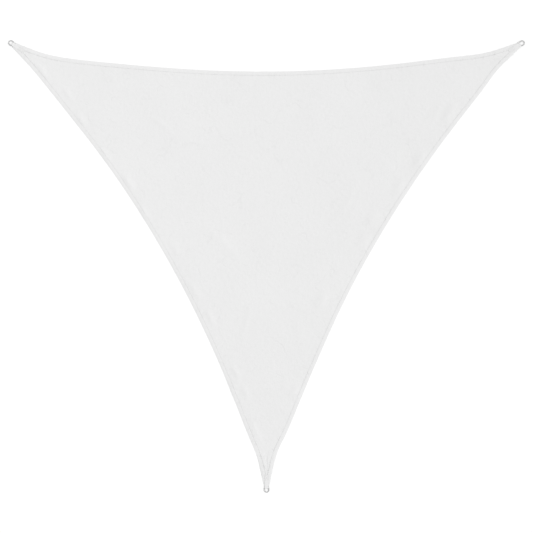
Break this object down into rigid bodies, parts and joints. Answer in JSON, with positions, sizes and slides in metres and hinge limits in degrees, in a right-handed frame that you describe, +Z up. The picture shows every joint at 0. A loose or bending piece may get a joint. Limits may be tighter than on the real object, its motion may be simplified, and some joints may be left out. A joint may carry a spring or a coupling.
{
  "type": "triangular shade sail",
  "caption": "Triangular woven cloth shade sail with hollow edges, a stitched hem and a D-ring on a webbing strap at each corner, laid out flat.",
  "frame": {"origin": "middle of the bounding box in plan, on the surface that the sail lies on", "axes": "+X from the left corner to the right corner, +Y from the foot corner to the upper edge, +Z up from the surface"},
  "size_m": [3.5882, 3.1425, 0.0077],
  "materials": {
    "cloth": "matt white plain weave",
    "webbing": "white ribbed webbing",
    "steel": "polished stainless wire"
  },
  "bodies": {
    "root": {"sail": "cloth", "strap_left": "webbing", "strap_foot": "webbing", "strap_right": "webbing", "ring_left": "steel", "ring_foot": "steel", "ring_right": "steel"}
  },
  "joints": []
}
